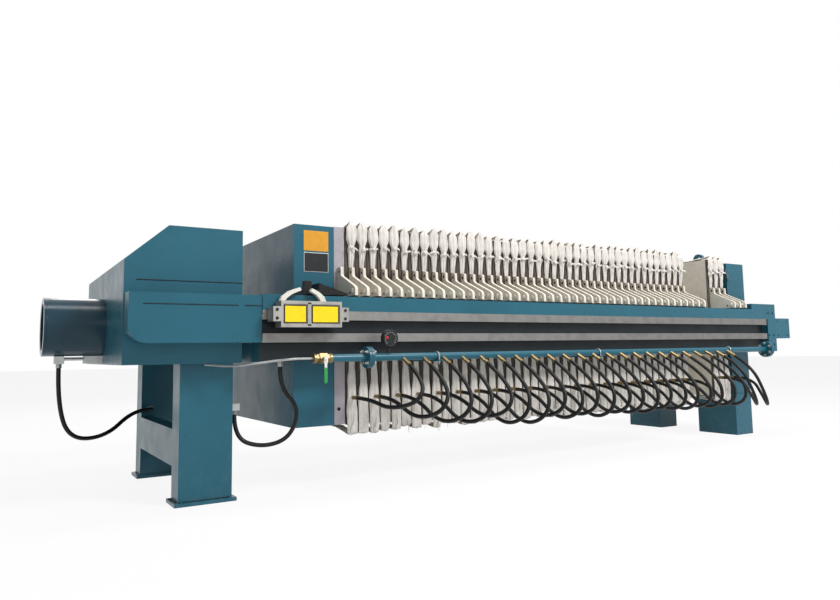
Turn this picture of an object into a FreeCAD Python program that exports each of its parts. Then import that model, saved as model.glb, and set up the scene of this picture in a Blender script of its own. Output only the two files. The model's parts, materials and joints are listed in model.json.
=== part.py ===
import FreeCAD, Part
import Sketcher
import math
import os
from types import SimpleNamespace

# Hydraulic plate filter press with a 1000 mm plate pack, an automatic plate shifter on each
# side beam and a squeeze manifold with one hose to every second plate.
# Units are millimetres. Stations along the machine (X) and distances from its centre plane (Y)
# are measured in machine terms and moved by frame_x and frame_y to the centre of the footprint.

SIZES = {
    # where the frame's origin lies in machine terms
    "frame_x": 2526.0,
    "frame_y": -31.07,
    # plate pack
    "plate_size": 1000.0,
    "plate_base": 300.0,
    "plate_pitch": 63.7,
    "plate_thick": 58.0,
    "first_plate": 1331.0,
    "main_count": 43,
    "group_plate": 4349.0,
    "group_count": 3,
    "lobe_top": 1092.0,
    "handle_end_top": 977.0,
    "handle_thick": 16.0,
    "port_height": 432.0,
    # cloths hung over the plates
    "cloth_thick": 46.0,
    "cloth_out": 22.0,
    "cloth_over": 36.0,
    "cloth_under": 50.0,
    "cloth_split": 915.0,
    # side beams and shifter rails
    "beam_outer": 700.0,
    "beam_inner": 552.0,
    "beam_top": 925.0,
    "beam_bottom": 622.0,
    "beam_web": 660.0,
    "beam_wall": 12.0,
    "band_bottom": 854.0,
    "rail_upper_base": 811.0,
    "rail_lower_top": 749.0,
    "rail_lower_base": 708.0,
    "rail_end": 4715.0,
    # cylinder bracket and its cheeks
    "bracket_left": 300.0,
    "bracket_right": 803.0,
    "bracket_half": 595.0,
    "bracket_bottom": 620.0,
    "bracket_shoulder": 1065.0,
    "bracket_peak": 478.0,
    "bracket_top": 1223.0,
    "bracket_wall": 20.0,
    "cheek_left": 304.0,
    "cheek_right": 860.0,
    "cheek_base": 709.0,
    "cheek_top": 920.0,
    "cheek_round": 75.0,
    # hydraulic cylinder
    "cylinder_axis": 800.0,
    "cylinder_radius": 137.5,
    "cylinder_bore": 110.0,
    "cylinder_left": 41.0,
    "cylinder_flange": 175.0,
    "flange_thick": 22.0,
    "rod_radius": 70.0,
    "rod_flange": 120.0,
    "hydraulic_radius": 10.0,
    # legs
    "leg_left": 554.0,
    "leg_right": 790.0,
    "leg_outer": 507.0,
    "leg_depth": 129.0,
    "foot_thick": 16.0,
    "foot_lip": 18.0,
    "tie_base": 160.0,
    "tie_top": 325.0,
    "tie_flange": 70.0,
    # follower
    "follower_left": 1084.0,
    "follower_right": 1296.0,
    "follower_half": 508.0,
    "follower_top": 1296.0,
    # head
    "head_left": 4558.0,
    "head_right": 4768.0,
    "head_top": 1287.0,
    "head_half": 500.0,
    "head_leg_left": 4562.0,
    "head_leg_right": 4757.0,
    "head_leg_outer": 510.0,
    "head_leg_depth": 328.0,
    "end_left": 4540.0,
    "end_right": 4831.0,
    "end_bottom": 616.0,
    "end_top": 965.0,
    "drive_right": 5010.0,
    "drive_base": 711.0,
    "drive_top": 861.0,
    "lug_offset": 190.0,
    "lug_width": 90.0,
    "lug_thick": 30.0,
    "lug_height": 115.0,
    "feed_radius": 50.0,
    "feed_end": 4900.0,
    # squeeze manifold
    "pipe_offset": 780.0,
    "pipe_height": 633.0,
    "pipe_radius": 18.0,
    "pipe_left": 1158.0,
    "pipe_right": 4560.0,
    "flange_station": 1348.0,
    "flange_radius": 50.0,
    "first_tap": 1534.5,
    "tap_pitch": 115.7,
    "tap_count": 23,
    "gauge_station": 1459.0,
    "gauge_radius": 40.0,
    "gauge_height": 722.0,
    "valve_left": 1072.0,
    "hose_radius": 10.0,
    "supply_radius": 4.0,
    # plate shifter
    "shifter_left": 883.0,
    "shifter_right": 1249.0,
    "shifter_base": 774.0,
    "shifter_top": 892.0,
    "shifter_inner": 706.0,
    "shifter_outer": 782.0,
}

doc = FreeCAD.newDocument("FilterPress")
sheet = doc.addObject("Spreadsheet::Sheet", "Sizes")
for row, (alias, number) in enumerate(SIZES.items(), start=1):
    sheet.set(f"A{row}", alias)
    sheet.set(f"B{row}", str(number))
    sheet.setAlias(f"B{row}", alias)
doc.recompute()


class Size:
    """A length with its formula, so that one sum gives a number and an expression."""

    def __init__(self, value, formula):
        self.value = value
        self.formula = formula

    def __add__(self, other):
        other = sized(other)
        return Size(self.value + other.value, f"({self.formula} + {other.formula})")

    def __sub__(self, other):
        other = sized(other)
        return Size(self.value - other.value, f"({self.formula} - {other.formula})")

    def __mul__(self, factor):
        return Size(self.value * factor, f"({self.formula} * {factor})")

    def __neg__(self):
        return self * -1


def sized(number):
    return number if isinstance(number, Size) else Size(float(number), str(number))


d = SimpleNamespace(**{alias: Size(float(sheet.get(alias)), f"Sizes.{alias}") for alias in SIZES})
plate_half = d.plate_size * 0.5
plate_top = d.plate_base + d.plate_size
nodes = []


def place(item, x, y, z):
    """Bind an object's place to the sheet, in the frame's own coordinates."""
    item.setExpression("Placement.Base.x", (sized(x) - d.frame_x).formula)
    item.setExpression("Placement.Base.y", (sized(y) - d.frame_y).formula)
    item.setExpression("Placement.Base.z", sized(z).formula)


def block(label, x, y, z, keep=True):
    """A box between two stations, two offsets and two heights."""
    box = doc.addObject("Part::Box", label)
    for side, (low, high) in zip(("Length", "Width", "Height"), (x, y, z)):
        box.setExpression(side, (sized(high) - low).formula)
    place(box, x[0], y[0], z[0])
    box.Label = label
    if keep:
        nodes.append(box)
    return box


def sketch_on(body, plane, outline, holes=()):
    """A closed outline of (u, v) corners and round holes of (u, v, radius), all bound to the sheet."""
    sketch = body.newObject("Sketcher::SketchObject", body.Name + "_sketch")
    face = next(item for item in body.Origin.OriginFeatures if item.Role == plane)
    sketch.AttachmentSupport = [(face, "")]
    sketch.MapMode = "FlatFace"
    corners = [(sized(u), sized(v)) for u, v in outline]
    for index, (start, end) in enumerate(zip(corners, corners[1:] + corners[:1])):
        first = FreeCAD.Vector(start[0].value, start[1].value, 0)
        last = FreeCAD.Vector(end[0].value, end[1].value, 0)
        sketch.addGeometry(Part.LineSegment(first, last), False)
        if index:
            sketch.addConstraint(Sketcher.Constraint("Coincident", index - 1, 2, index, 1))
    sketch.addConstraint(Sketcher.Constraint("Coincident", len(corners) - 1, 2, 0, 1))
    for index, (u, v) in enumerate(corners):
        pin_point(sketch, index, 1, u, v)
    for u, v, radius in holes:
        u, v, radius = sized(u), sized(v), sized(radius)
        centre = FreeCAD.Vector(u.value, v.value, 0)
        ring = Part.Circle(centre, FreeCAD.Vector(0, 0, 1), radius.value)
        index = sketch.addGeometry(ring, False)
        pin_point(sketch, index, 3, u, v)
        bound = sketch.addConstraint(Sketcher.Constraint("Radius", index, radius.value))
        sketch.setExpression(f"Constraints[{bound}]", radius.formula)
    return sketch


def pin_point(sketch, index, point, u, v):
    """Hold one point of a sketch at (u, v) from the sketch's origin."""
    for kind, distance in (("DistanceX", u), ("DistanceY", v)):
        constraint = Sketcher.Constraint(kind, -1, 1, index, point, distance.value)
        bound = sketch.addConstraint(constraint)
        sketch.setExpression(f"Constraints[{bound}]", distance.formula)


def extrusion(label, plane, outline, start, length, holes=(), keep=True):
    """A padded outline. The pad runs along +X from a YZ plane, -Y from XZ and +Z from XY."""
    body = doc.addObject("PartDesign::Body", label)
    body.Label = label
    pad = body.newObject("PartDesign::Pad", label + "_pad")
    pad.Profile = sketch_on(body, plane, outline, holes)
    pad.setExpression("Length", sized(length).formula)
    stations = {"YZ_Plane": (start, 0, 0), "XZ_Plane": (0, start, 0), "XY_Plane": (0, 0, start)}
    place(body, *stations[plane])
    doc.recompute()
    if keep:
        nodes.append(body)
    return body


def turned(label, outline, x, y, z, turn=0.0, keep=True):
    """A half section of (distance along the axis, radius) corners, turned round its axis."""
    body = doc.addObject("PartDesign::Body", label)
    body.Label = label
    sketch = sketch_on(body, "XZ_Plane", outline)
    revolution = body.newObject("PartDesign::Revolution", label + "_turned")
    revolution.Profile = sketch
    revolution.ReferenceAxis = (sketch, ["H_Axis"])
    revolution.Angle = 360.0
    body.Placement = FreeCAD.Placement(FreeCAD.Vector(), FreeCAD.Rotation(FreeCAD.Vector(0, 0, 1), turn))
    place(body, x, y, z)
    doc.recompute()
    if keep:
        nodes.append(body)
    return body


def group(label, shapes):
    """Like pieces that don't touch, kept as one sub-part."""
    feature = doc.addObject("Part::Feature", label)
    feature.Shape = Part.makeCompound(shapes)
    feature.Placement = FreeCAD.Placement(
        FreeCAD.Vector(-d.frame_x.value, -d.frame_y.value, 0), FreeCAD.Rotation()
    )
    feature.Label = label
    nodes.append(feature)
    return feature


def solid_box(x, y, z):
    """A plain box between number pairs, in machine terms."""
    corner = FreeCAD.Vector(x[0], y[0], z[0])
    return Part.makeBox(x[1] - x[0], y[1] - y[0], z[1] - z[0], corner)


def solid_prism(points, direction):
    """The face inside 3-D corner points, pushed along a direction."""
    corners = [FreeCAD.Vector(*point) for point in points]
    return Part.Face(Part.makePolygon(corners + corners[:1])).extrude(FreeCAD.Vector(*direction))


def solid_rod(start, end, radius):
    start, end = FreeCAD.Vector(*start), FreeCAD.Vector(*end)
    return Part.makeCylinder(radius, start.distanceToPoint(end), start, end - start)


def tube(points, radius, sides):
    """A tube of flat-sided section along straight runs joined by arcs as wide as the runs allow."""
    points = [FreeCAD.Vector(*point) for point in points]
    edges = []
    radii = []
    cursor = points[0]
    for before, corner, after in zip(points, points[1:], points[2:]):
        arriving = (corner - before).normalize()
        leaving = (after - corner).normalize()
        half_turn = math.acos(arriving.dot(leaving)) / 2
        reach = 0.45 * min((corner - before).Length, (after - corner).Length)
        bend = reach / math.tan(half_turn)
        start = corner - arriving * reach
        end = corner + leaving * reach
        inward = (leaving - arriving).normalize()
        middle = corner + inward * (bend / math.cos(half_turn) - bend)
        edges.append(Part.LineSegment(cursor, start).toShape())
        edges.append(Part.Arc(start, middle, end).toShape())
        radii.append(bend)
        cursor = end
    edges.append(Part.LineSegment(cursor, points[-1]).toShape())
    path = Part.Wire(edges)
    along = (points[1] - points[0]).normalize()
    upright = FreeCAD.Vector(0, 0, 1) if abs(along.x) > 0.9 else FreeCAD.Vector(1, 0, 0)
    first = along.cross(upright).normalize()
    second = along.cross(first)
    # the flat-sided section has the round tube's area
    spoke = radius * math.sqrt(2 * math.pi / (sides * math.sin(2 * math.pi / sides)))
    ring = []
    for index in range(sides):
        angle = 2 * math.pi * index / sides
        ring.append(points[0] + first * (spoke * math.cos(angle)) + second * (spoke * math.sin(angle)))
    solid = path.makePipeShell([Part.makePolygon(ring + ring[:1])], True, False)
    drawn = math.pi * radius**2 * path.Length
    print(f"tube {path.Length:.0f} long, tightest arc {min(radii):.0f}, volume {solid.Volume / drawn:.3f} of drawn")
    return solid


def hex_rod(start, end, radius):
    """A six-sided bar between two points, as wide over its corners as twice the radius."""
    start, end = FreeCAD.Vector(*start), FreeCAD.Vector(*end)
    along = (end - start).normalize()
    upright = FreeCAD.Vector(0, 0, 1) if abs(along.x) > 0.9 else FreeCAD.Vector(1, 0, 0)
    first = along.cross(upright).normalize()
    second = along.cross(first)
    corners = []
    for index in range(6):
        angle = math.radians(60 * index)
        corners.append(start + first * (radius * math.cos(angle)) + second * (radius * math.sin(angle)))
    return solid_prism(corners, end - start)


def joined(label, kind, items):
    """Parametric solids kept as one sub-part: kind is Part::MultiFuse or Part::Compound."""
    whole = doc.addObject(kind, label)
    if kind == "Part::MultiFuse":
        whole.Shapes = items
        whole.Refine = True
    else:
        whole.Links = items
    whole.Label = label
    nodes.append(whole)
    return whole


def outward(side, low, high):
    """A Y span given as distances from the centre plane, on the near (-1) or far (+1) side."""
    return (low, high) if side > 0 else (-high, -low)


SIDES = (("near", -1), ("far", 1))


# ---- cylinder bracket -------------------------------------------------------------------------
def cylinder_bracket():
    outline = [
        (d.bracket_left, d.bracket_bottom),
        (d.bracket_right, d.bracket_bottom),
        (d.bracket_right, d.bracket_top),
        (d.bracket_peak, d.bracket_top),
        (d.bracket_left, d.bracket_shoulder),
    ]
    inner = d.bracket_half - d.bracket_wall
    for name, side in SIDES:
        start = -inner if side < 0 else d.bracket_half
        extrusion(f"bracket_side_{name}", "XZ_Plane", outline, start, d.bracket_wall)
    hole = [(0, d.cylinder_axis, d.cylinder_radius + 1)]
    rear = [
        (-inner, d.bracket_bottom),
        (inner, d.bracket_bottom),
        (inner, d.bracket_shoulder - d.bracket_wall),
        (-inner, d.bracket_shoulder - d.bracket_wall),
    ]
    extrusion("bracket_rear_plate", "YZ_Plane", rear, d.bracket_left, d.bracket_wall * 1.5, hole)
    front = [
        (-inner, d.bracket_bottom),
        (inner, d.bracket_bottom),
        (inner, d.bracket_top - d.bracket_wall),
        (-inner, d.bracket_top - d.bracket_wall),
    ]
    thick = d.bracket_wall * 2
    extrusion("bracket_front_plate", "YZ_Plane", front, d.bracket_right - thick, thick, hole)
    cover = [
        (d.bracket_left, d.bracket_shoulder - d.bracket_wall),
        (d.bracket_peak, d.bracket_top - d.bracket_wall),
        (d.bracket_right, d.bracket_top - d.bracket_wall),
        (d.bracket_right, d.bracket_top),
        (d.bracket_peak, d.bracket_top),
        (d.bracket_left, d.bracket_shoulder),
    ]
    extrusion("bracket_top_cover", "XZ_Plane", cover, inner, inner * 2)


def beam_cheeks():
    outline = [
        (d.cheek_left, d.cheek_base),
        (d.cheek_right, d.cheek_base),
        (d.cheek_right, d.cheek_top),
        (d.cheek_left, d.cheek_top),
    ]
    for name, side in SIDES:
        start = -d.bracket_half if side < 0 else d.beam_outer
        body = extrusion(f"beam_cheek_{name}", "XZ_Plane", outline, start, d.beam_outer - d.bracket_half)
        pad = body.Tip
        corner = [
            f"Edge{index}"
            for index, edge in enumerate(pad.Shape.Edges, start=1)
            if abs(edge.CenterOfMass.x - d.cheek_left.value) < 1 and abs(edge.CenterOfMass.z - d.cheek_base.value) < 1
        ]
        round_corner = body.newObject("PartDesign::Fillet", f"cheek_{name}_round")
        round_corner.Base = (pad, corner)
        round_corner.setExpression("Radius", d.cheek_round.formula)
        doc.recompute()


# ---- hydraulic cylinder -----------------------------------------------------------------------
def hydraulic_cylinder():
    cap_left = d.cylinder_left + 30
    bore_left = cap_left + 140
    right = d.bracket_right + d.flange_thick
    bore = d.rod_radius + 1
    barrel = [
        (d.cylinder_left, d.cylinder_bore),
        (cap_left, d.cylinder_bore),
        (cap_left, 0),
        (bore_left, 0),
        (bore_left, bore),
        (right, bore),
        (right, d.cylinder_flange),
        (d.bracket_right, d.cylinder_flange),
        (d.bracket_right, d.cylinder_radius),
        (d.cylinder_left, d.cylinder_radius),
    ]
    turned("cylinder_barrel", barrel, 0, 0, d.cylinder_axis)
    rod_left = 470
    flange_left = d.follower_left - 20
    rod = [
        (rod_left, 0),
        (d.follower_left, 0),
        (d.follower_left, d.rod_flange),
        (flange_left, d.rod_flange),
        (flange_left, d.rod_radius),
        (rod_left, d.rod_radius),
    ]
    turned("piston_rod", rod, 0, 0, d.cylinder_axis)


def hydraulic_lines():
    """A hose from the rear port to the far leg, and one from the near leg to the near beam."""
    under = d.cylinder_axis.value - d.cylinder_radius.value
    leg_face = d.leg_outer.value - d.leg_depth.value
    beam_under = d.beam_bottom.value
    block_base = under - 36
    rear_tip = (116, 0, block_base - 18)
    leg_tip = (600, leg_face - 22, 372)
    leg_block = (d.leg_right.value, d.leg_right.value + 42)
    near_tip = (leg_block[1] - 20, -460, 380)
    beam_tip = (979, -606, beam_under - 24)
    fittings = [
        solid_box((96, 136), (-32, 32), (block_base, under)),
        hex_rod((600, leg_face, 372), leg_tip, 14),
        solid_box(leg_block, (-478, -442), (398, 430)),
        hex_rod((979, -606, beam_under), beam_tip, 14),
    ]
    for y in (-18, 18):
        fittings[0] = fittings[0].fuse(hex_rod((136, y, under - 13), (220, y, under - 13), 9))
    fittings[0] = fittings[0].fuse(solid_box((220, 300), (-32, 32), (block_base, under)))
    fittings[0] = fittings[0].fuse(hex_rod((116, 0, block_base), rear_tip, 14))
    fittings[2] = fittings[2].fuse(hex_rod((near_tip[0], -460, 398), near_tip, 14))
    group("hydraulic_fittings", fittings)
    rear_route = [
        rear_tip,
        (116, 0, 450),
        (170, 20, 270),
        (340, 100, 262),
        (480, 210, 372),
        (600, 270, 372),
        leg_tip,
    ]
    near_route = [
        near_tip,
        (near_tip[0], -460, 268),
        (930, -515, 224),
        (1050, -555, 262),
        (1088, -575, 400),
        (979, -606, 500),
        beam_tip,
    ]
    radius = d.hydraulic_radius.value
    group("hydraulic_hoses", [tube(route, radius, 4) for route in (rear_route, near_route)])


# ---- legs at the cylinder end -----------------------------------------------------------------
def rear_legs():
    lip = d.foot_lip.value
    foot_x = (d.leg_left.value - lip, d.leg_right.value + lip)
    legs = []
    feet = []
    for name, side in SIDES:
        y = outward(side, d.leg_outer - d.leg_depth, d.leg_outer)
        z = (d.foot_thick, d.bracket_bottom)
        legs.append(block(f"rear_leg_{name}", (d.leg_left, d.leg_right), y, z, keep=False))
        low = d.leg_outer.value - d.leg_depth.value - lip
        feet.append(solid_box(foot_x, outward(side, low, d.leg_outer.value + lip), (0, d.foot_thick.value)))
    joined("rear_legs", "Part::Compound", legs)
    group("rear_feet", feet)
    wall = 9
    channel = [
        (d.leg_left, d.tie_base),
        (d.leg_left + d.tie_flange, d.tie_base),
        (d.leg_left + d.tie_flange, d.tie_base + wall),
        (d.leg_left + wall, d.tie_base + wall),
        (d.leg_left + wall, d.tie_top - wall),
        (d.leg_left + d.tie_flange, d.tie_top - wall),
        (d.leg_left + d.tie_flange, d.tie_top),
        (d.leg_left, d.tie_top),
    ]
    span = d.leg_outer - d.leg_depth
    extrusion("leg_cross_member", "XZ_Plane", channel, span, span * 2)


# ---- side beams and shifter rails -------------------------------------------------------------
def side_beams():
    rails = []
    for name, side in SIDES:
        outline = [
            (d.beam_inner * side, d.beam_bottom),
            (d.beam_inner * side, d.beam_top),
            (d.beam_outer * side, d.beam_top),
            (d.beam_outer * side, d.band_bottom),
            (d.beam_web * side, d.band_bottom),
            (d.beam_web * side, d.beam_bottom),
        ]
        extrusion(f"side_beam_{name}", "YZ_Plane", outline, d.cheek_right, d.end_left - d.cheek_right)
        x = (d.cheek_right.value, d.rail_end.value)
        y = outward(side, d.beam_web.value, d.beam_outer.value)
        rails.append(solid_box(x, y, (d.rail_upper_base.value, d.band_bottom.value)))
        rails.append(solid_box(x, y, (d.rail_lower_base.value, d.rail_lower_top.value)))
    group("shifter_rails", rails)


# ---- head -------------------------------------------------------------------------------------
def head():
    outline = [
        (-d.head_half, d.plate_base),
        (d.head_half, d.plate_base),
        (d.head_half, d.head_top),
        (-d.head_half, d.head_top),
    ]
    centre = d.plate_base + plate_half
    feed = [(0, centre, d.feed_radius)]
    wall = extrusion("head_wall", "YZ_Plane", outline, d.head_left, d.head_right - d.head_left, feed, keep=False)
    flange_left = d.feed_end - 20
    inlet = [
        (d.head_right, d.feed_radius),
        (d.feed_end, d.feed_radius),
        (d.feed_end, d.feed_radius + 60),
        (flange_left, d.feed_radius + 60),
        (flange_left, d.feed_radius + 7),
        (d.head_right, d.feed_radius + 7),
    ]
    stub = turned("feed_stub", inlet, 0, 0, centre, keep=False)
    joined("head_plate", "Part::MultiFuse", [wall, stub])
    legs = []
    drives = []
    for name, side in SIDES:
        y = outward(side, d.head_leg_outer - d.head_leg_depth, d.head_leg_outer)
        x = (d.head_leg_left, d.head_leg_right)
        legs.append(block(f"head_leg_{name}", x, y, (0, d.plate_base), keep=False))
        x = (d.end_left, d.end_right)
        core_y = outward(side, d.head_half, d.beam_web)
        band_y = outward(side, d.beam_web, d.beam_outer)
        core = block("end_core_" + name, x, core_y, (d.end_bottom, d.end_top), keep=False)
        band = block("end_band_" + name, x, band_y, (d.band_bottom, d.end_top), keep=False)
        x = (d.rail_end + 15, d.end_right)
        post = block("end_post_" + name, x, band_y, (d.end_bottom, d.band_bottom), keep=False)
        joined(f"beam_end_block_{name}", "Part::MultiFuse", [core, band, post])
        x = (d.end_right, d.drive_right)
        y = outward(side, d.beam_web - 60, d.beam_outer)
        drives.append(block(f"drive_box_{name}", x, y, (d.drive_base, d.drive_top), keep=False))
    joined("head_legs", "Part::Compound", legs)
    joined("drive_boxes", "Part::Compound", drives)
    lugs = []
    thick = d.lug_thick.value
    lug_x = (d.head_left.value + d.head_right.value) / 2 - thick / 2
    half = d.lug_width.value / 2
    base = d.head_top.value
    shoulder = base + d.lug_height.value - half
    for name, side in SIDES:
        middle = d.lug_offset.value * side
        corners = [(lug_x, middle - half, base), (lug_x, middle + half, base)]
        for step in range(7):
            angle = math.radians(30 * step)
            corners.append((lug_x, middle + half * math.cos(angle), shoulder + half * math.sin(angle)))
        eye = solid_rod((lug_x, middle, shoulder), (lug_x + thick, middle, shoulder), half * 0.5)
        lugs.append(solid_prism(corners, (thick, 0, 0)).cut(eye))
    group("lifting_lugs", lugs)


# ---- plate pack -------------------------------------------------------------------------------
def plate_stations():
    main = [d.first_plate.value + d.plate_pitch.value * index for index in range(int(d.main_count.value))]
    loose = [d.group_plate.value + d.plate_pitch.value * index for index in range(int(d.group_count.value))]
    return main + loose


def plate_pack():
    half = d.plate_thick.value / 2
    base, top = d.plate_base.value, plate_top.value
    stations = plate_stations()

    def plate(x):
        return solid_box((x - half, x + half), (-plate_half.value, plate_half.value), (base, top))

    group("end_plate", [plate(stations[0])])
    group("membrane_plates", [plate(x) for x in stations[1::2]])
    group("chamber_plates", [plate(x) for x in stations[2::2]])
    rest = d.beam_top.value
    thick = d.handle_thick.value
    handles = []
    for name, side in SIDES:
        for x in stations:
            left = x - thick / 2
            corners = [
                (plate_half.value, rest),
                (plate_half.value, d.lobe_top.value),
                (d.beam_outer.value, d.handle_end_top.value),
                (d.beam_outer.value, rest),
            ]
            points = [(left, side * offset, height) for offset, height in corners]
            handles.append(solid_prism(points, (thick, 0, 0)))
    group("plate_handles", handles)


def filter_cloths():
    """Each cloth laps over its plate above the handles and hangs under it below them."""
    wide = d.cloth_thick.value
    edge = plate_half.value
    outer = edge + d.cloth_out.value
    upper = [
        (outer, d.lobe_top.value + 2),
        (outer, plate_top.value + d.cloth_over.value),
        (-outer, plate_top.value + d.cloth_over.value),
        (-outer, d.lobe_top.value + 2),
        (-edge, d.lobe_top.value + 2),
        (-edge, plate_top.value),
        (edge, plate_top.value),
        (edge, d.lobe_top.value + 2),
    ]
    lower = [
        (outer, d.cloth_split.value),
        (edge, d.cloth_split.value),
        (edge, d.plate_base.value),
        (-edge, d.plate_base.value),
        (-edge, d.cloth_split.value),
        (-outer, d.cloth_split.value),
        (-outer, d.plate_base.value - d.cloth_under.value),
        (outer, d.plate_base.value - d.cloth_under.value),
    ]
    for label, outline in (("upper_cloths", upper), ("lower_cloths", lower)):
        cloths = []
        for station in plate_stations()[1:]:
            points = [(station - wide / 2, offset, height) for offset, height in outline]
            cloths.append(solid_prism(points, (wide, 0, 0)))
        group(label, cloths)


# ---- squeeze manifold -------------------------------------------------------------------------
# How far each hose runs out along its tap, and how far its bend hangs under the tap, in order.
HOSE_RUN = (168, 205, 232, 235, 240, 232, 244, 236, 240, 230, 238, 243, 232, 236, 230, 240, 234, 238, 230, 238, 232)
HOSE_FALL = (188, 236, 262, 272, 252, 292, 298, 272, 290, 280, 296, 284, 292, 298, 286, 294, 300, 292, 302, 296, 300)
LOOSE_FALL = (262, 268)
TAP_WAY = (0, -0.871, -0.491)


def along(start, way, distance):
    return tuple(place + step * distance for place, step in zip(start, way))


def hose_route(tap_tip, port_tip, run, fall):
    """From a tap out and down, round under itself and level into the port of a plate."""
    drift = port_tip[0] - tap_tip[0]
    turn = along(tap_tip, TAP_WAY, run)
    outer = (tap_tip[0] + drift * 0.35, turn[1] - 22, tap_tip[2] - fall * 0.92)
    low = (tap_tip[0] + drift * 0.75, turn[1] + 150, tap_tip[2] - fall * 1.12)
    return [tap_tip, turn, outer, low, along(port_tip, (0, -1, 0), 150), port_tip]


def loose_route(tap_tip, port_tip, fall):
    """The long way of a hose whose plate stands apart, by the head."""
    drift = port_tip[0] - tap_tip[0]
    turn = along(tap_tip, TAP_WAY, 150)
    outer = (tap_tip[0] + drift * 0.18, turn[1] - 42, tap_tip[2] - fall)
    low = (tap_tip[0] + drift * 0.42, turn[1] + 5, tap_tip[2] - fall * 1.30)
    back = (tap_tip[0] + drift * 0.74, turn[1] + 120, tap_tip[2] - fall * 1.08)
    return [tap_tip, turn, outer, low, back, along(port_tip, (0, -1, 0), 150), port_tip]


def manifold():
    axis_y, axis_z = -d.pipe_offset, d.pipe_height
    flange_left = d.flange_station - 14
    flange_right = d.flange_station + 14
    blind_left = d.pipe_right - 18
    pipe = [
        (d.pipe_left, 0),
        (d.pipe_right + 14, 0),
        (d.pipe_right + 14, d.flange_radius + 6),
        (blind_left, d.flange_radius + 6),
        (blind_left, d.pipe_radius),
        (flange_right, d.pipe_radius),
        (flange_right, d.flange_radius),
        (flange_left, d.flange_radius),
        (flange_left, d.pipe_radius),
        (d.pipe_left, d.pipe_radius),
    ]
    turned("manifold_pipe", pipe, 0, axis_y, axis_z)
    y, z = axis_y.value, axis_z.value
    radius = d.pipe_radius.value
    taps = []
    ports = []
    hoses = []
    tap_stations = [d.first_tap.value + d.tap_pitch.value * index for index in range(int(d.tap_count.value))]
    outer = plate_half.value + d.cloth_out.value
    routed = len(HOSE_RUN)
    for index, (tap_x, port_x) in enumerate(zip(tap_stations, plate_stations()[1::2])):
        axis = (tap_x, y, z)
        tap_tip = along(axis, TAP_WAY, radius + 50)
        taps.append(hex_rod(along(axis, TAP_WAY, radius), tap_tip, 10.0))
        port_tip = (port_x, -outer - 38, d.port_height.value)
        ports.append(hex_rod((port_x, -outer, d.port_height.value), port_tip, 10.0))
        if index < routed:
            route = hose_route(tap_tip, port_tip, HOSE_RUN[index], HOSE_FALL[index])
        else:
            route = loose_route(tap_tip, port_tip, LOOSE_FALL[index - routed])
        hoses.append(tube(route, d.hose_radius.value, 4))
    group("manifold_taps", taps)
    group("plate_ports", ports)
    group("squeeze_hoses", hoses)
    under_pipe = z - radius
    under_beam = d.beam_bottom.value
    inner = -d.beam_inner.value
    brackets = []
    for x in (1735.0, 2865.0, 4110.0):
        profile = [
            (y - 30, under_pipe),
            (y - 30, under_pipe - 8),
            (inner, under_pipe - 8),
            (inner, under_beam),
            (-d.beam_web.value, under_beam),
            (-d.beam_web.value, under_pipe),
        ]
        points = [(x - 15, offset, height) for offset, height in profile]
        brackets.append(solid_prism(points, (30, 0, 0)))
    group("manifold_brackets", brackets)
    left, right = d.valve_left.value, d.pipe_left.value
    valve = hex_rod((left, y, z), (left + 24, y, z), 21)
    valve = valve.fuse(hex_rod((left + 24, y, z), (left + 62, y, z), 27))
    valve = valve.fuse(hex_rod((left + 62, y, z), (right, y, z), 21))
    pivot = left + 43
    boss = hex_rod((pivot, y - 20, z), (pivot, y - 31, z), 10)
    group("valve_body", [valve.fuse(boss).removeSplitter()])
    stem = hex_rod((pivot, y - 31, z), (pivot, y - 41, z), 9)
    arm_x = (pivot - 8, pivot + 8)
    arm = solid_box(arm_x, (y - 41, y - 36), (z - 112, z + 12))
    group("valve_lever", [stem.fuse(arm)])
    gauge_y = y - 8
    x = d.gauge_station.value
    height = d.gauge_height.value
    case = solid_rod((x, gauge_y + 14, height), (x, gauge_y - 14, height), d.gauge_radius.value)
    stalk = hex_rod((x, gauge_y + 8, z + radius), (x, gauge_y + 8, height - 30), 7.0)
    group("pressure_gauge", [case.fuse(stalk)])
    bracket_y = -d.bracket_half.value + d.bracket_wall.value / 2
    supply_route = [
        (left, y, z),
        (960, y, z),
        (740, -650, 604),
        (640, bracket_y, d.bracket_bottom.value - d.supply_radius.value - 1),
    ]
    group("supply_tube", [tube(supply_route, d.supply_radius.value, 4)])


# ---- follower ---------------------------------------------------------------------------------
def follower():
    outline = [
        (-d.follower_half, d.plate_base),
        (d.follower_half, d.plate_base),
        (d.follower_half, d.follower_top),
        (-d.follower_half, d.follower_top),
    ]
    extrusion("follower_plate", "YZ_Plane", outline, d.follower_left, d.follower_right - d.follower_left)
    clear = d.beam_top + 6
    foot = [
        (d.follower_left, clear),
        (d.follower_right - 8, clear),
        (d.follower_right - 8, clear + 9),
        (d.follower_left + 54, clear + 55),
        (d.follower_left + 54, clear + 24),
        (d.follower_left, clear + 24),
    ]
    for name, side in SIDES:
        start = -d.follower_half if side < 0 else d.beam_outer - 8
        depth = d.beam_outer - 8 - d.follower_half
        wedge = extrusion(f"foot_wedge_{name}", "XZ_Plane", foot, start, depth, keep=False)
        stop_x = (d.follower_left - 18, d.follower_left + 16)
        stop_y = outward(side, d.beam_outer - 38, d.beam_outer - 8)
        stop = block(f"foot_stop_{name}", stop_x, stop_y, (clear, clear + 63), keep=False)
        joined(f"follower_foot_{name}", "Part::MultiFuse", [wedge, stop])


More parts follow.
